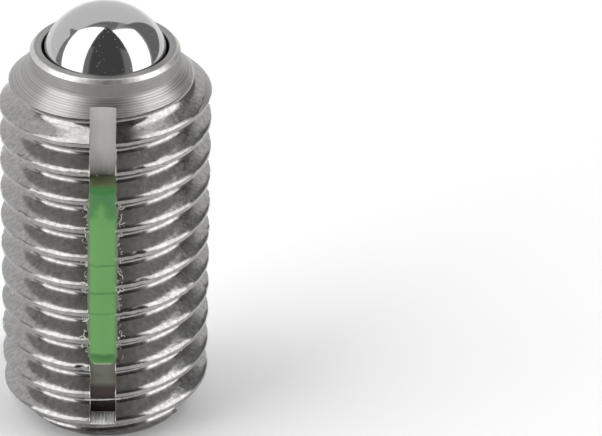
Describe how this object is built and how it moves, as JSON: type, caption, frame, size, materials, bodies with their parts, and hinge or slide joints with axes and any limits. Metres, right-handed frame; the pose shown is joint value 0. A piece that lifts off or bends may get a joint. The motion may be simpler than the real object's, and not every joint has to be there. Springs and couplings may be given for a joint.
{
  "type": "spring plunger",
  "caption": "Threaded ball spring plunger: a sprung ball in a slotted threaded sleeve with a plastic locking strip.",
  "frame": {"origin": "centre of the slotted end face, on the screw axis", "axes": "+Z along the screw axis towards the ball; the locking groove faces -Y; +X to the viewer's right"},
  "size_m": [0.0098, 0.01, 0.021],
  "materials": {
    "sleeve": "machined stainless steel",
    "locking_strip": "translucent green nylon",
    "spring": "drawn stainless spring wire",
    "ball": "polished hardened steel"
  },
  "bodies": {
    "sleeve": {"sleeve": "sleeve", "locking_strip": "locking_strip"},
    "spring": {"spring": "spring"},
    "ball": {"ball": "ball"}
  },
  "joints": [
    {"name": "ball_press", "type": "slide", "parent": "sleeve", "child": "spring", "axis": [0, 0, -1], "range_m": [0, 0.002], "stiffness_N_per_m": 15500, "deforming": ["spring"]},
    {"name": "ball_roll", "type": "hinge", "parent": "spring", "child": "ball", "pos_m": [0, 0, 0.018], "axis": [1, 0, 0], "continuous": true}
  ]
}
